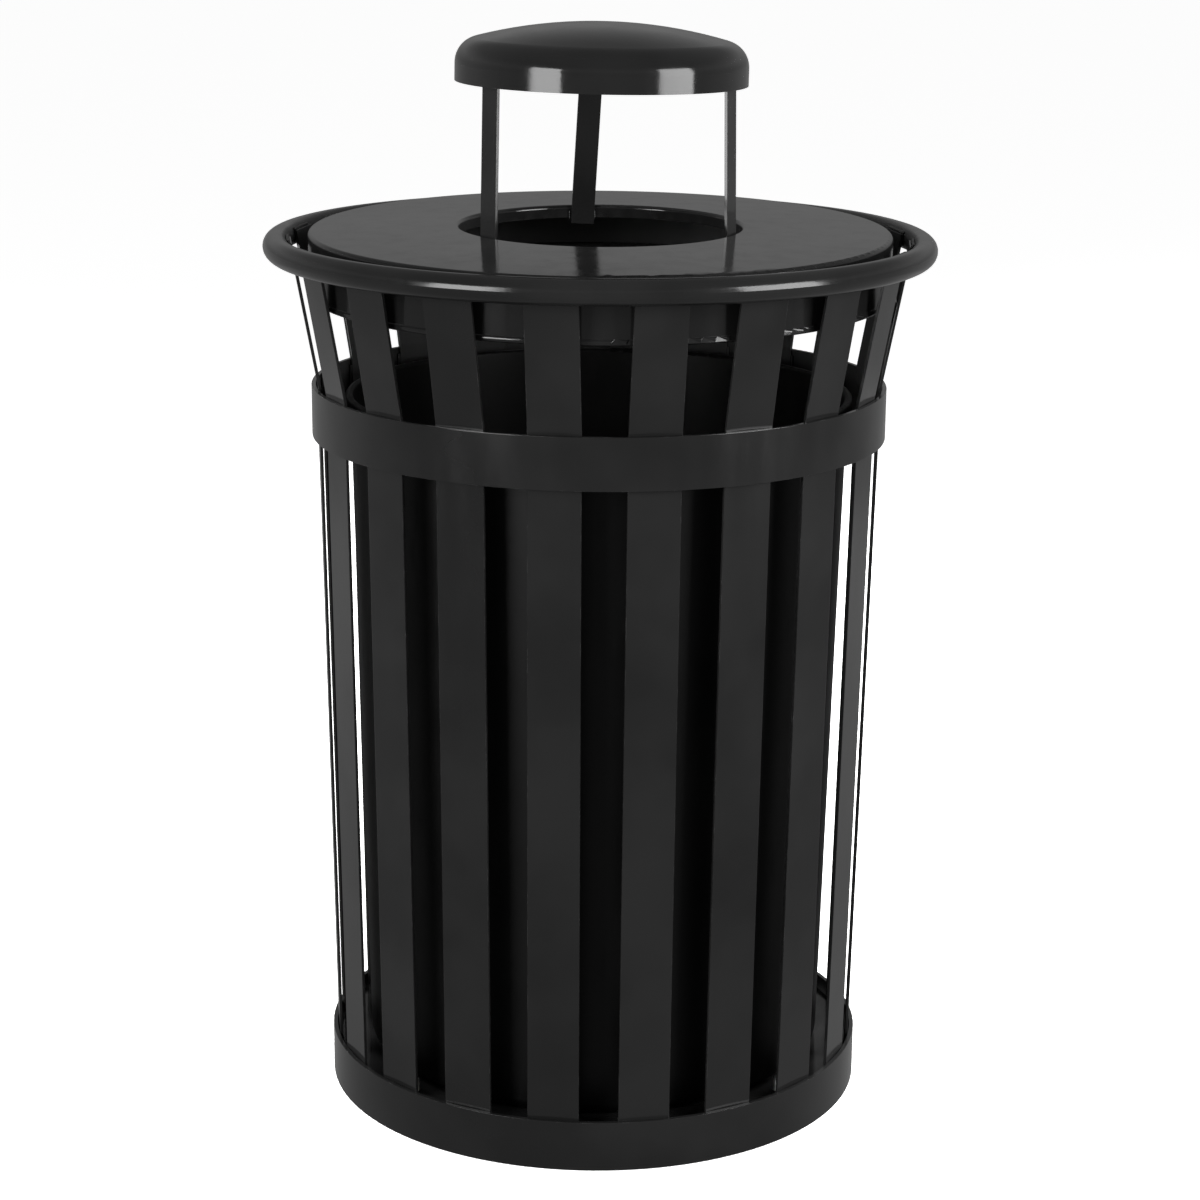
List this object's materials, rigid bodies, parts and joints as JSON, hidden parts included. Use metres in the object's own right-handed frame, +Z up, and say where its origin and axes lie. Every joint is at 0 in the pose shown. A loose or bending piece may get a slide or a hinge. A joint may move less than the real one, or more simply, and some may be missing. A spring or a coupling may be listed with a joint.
{
  "type": "litter bin",
  "caption": "Round slatted steel litter bin with a flared rim, a loose plastic liner and a lift-off lid whose throw hole is sheltered by a domed rain cap.",
  "frame": {"origin": "centre of the bin's footprint, on the ground, on the bin's own axis", "axes": "+Z up along the bin's axis; -Y towards the front, the side first seen; +X to the right of someone facing the front"},
  "size_m": [0.7111, 0.7112, 1.1594],
  "materials": {
    "frame_coat": "gloss black powder coat on steel bar, pipe and plate",
    "lid_coat": "smooth gloss black powder coat on pressed sheet steel",
    "liner_plastic": "moulded black polyethylene, low sheen",
    "foot_steel": "zinc-plated threaded steel",
    "foot_rubber": "matt black moulded rubber"
  },
  "bodies": {
    "frame": {"top_ring": "frame_coat", "mid_hoop": "frame_coat", "base_hoop": "frame_coat", "slat_01": "frame_coat", "slat_02": "frame_coat", "slat_03": "frame_coat", "slat_04": "frame_coat", "slat_05": "frame_coat", "slat_06": "frame_coat", "slat_07": "frame_coat", "slat_08": "frame_coat", "slat_09": "frame_coat", "slat_10": "frame_coat", "slat_11": "frame_coat", "slat_12": "frame_coat", "slat_13": "frame_coat", "slat_14": "frame_coat", "slat_15": "frame_coat", "slat_16": "frame_coat", "slat_17": "frame_coat", "slat_18": "frame_coat", "slat_19": "frame_coat", "slat_20": "frame_coat", "floor_plate": "frame_coat", "lid_rest_1": "frame_coat", "lid_rest_2": "frame_coat", "lid_rest_3": "frame_coat", "lid_rest_4": "frame_coat", "foot_nuts": "foot_steel"},
    "liner": {"liner": "liner_plastic"},
    "lid": {"lid_plate": "lid_coat", "cap_strap_1": "lid_coat", "cap_strap_2": "lid_coat", "cap_strap_3": "lid_coat", "rain_cap": "lid_coat"},
    "foot_1": {"foot_stud_1": "foot_steel", "foot_pad_1": "foot_rubber"},
    "foot_2": {"foot_stud_2": "foot_steel", "foot_pad_2": "foot_rubber"},
    "foot_3": {"foot_stud_3": "foot_steel", "foot_pad_3": "foot_rubber"},
    "foot_4": {"foot_stud_4": "foot_steel", "foot_pad_4": "foot_rubber"}
  },
  "joints": [
    {"name": "liner_lift", "type": "slide", "parent": "frame", "child": "liner", "axis": [0, 0, 1], "range_m": [0, 0.95]},
    {"name": "lid_lift", "type": "slide", "parent": "liner", "child": "lid", "axis": [0, 0, 1], "range_m": [0, 0.35]},
    {"name": "foot_1_height", "type": "slide", "parent": "frame", "child": "foot_1", "axis": [0, 0, -1], "range_m": [0, 0.014]},
    {"name": "foot_2_height", "type": "slide", "parent": "frame", "child": "foot_2", "axis": [0, 0, -1], "range_m": [0, 0.014]},
    {"name": "foot_3_height", "type": "slide", "parent": "frame", "child": "foot_3", "axis": [0, 0, -1], "range_m": [0, 0.014]},
    {"name": "foot_4_height", "type": "slide", "parent": "frame", "child": "foot_4", "axis": [0, 0, -1], "range_m": [0, 0.014]}
  ]
}
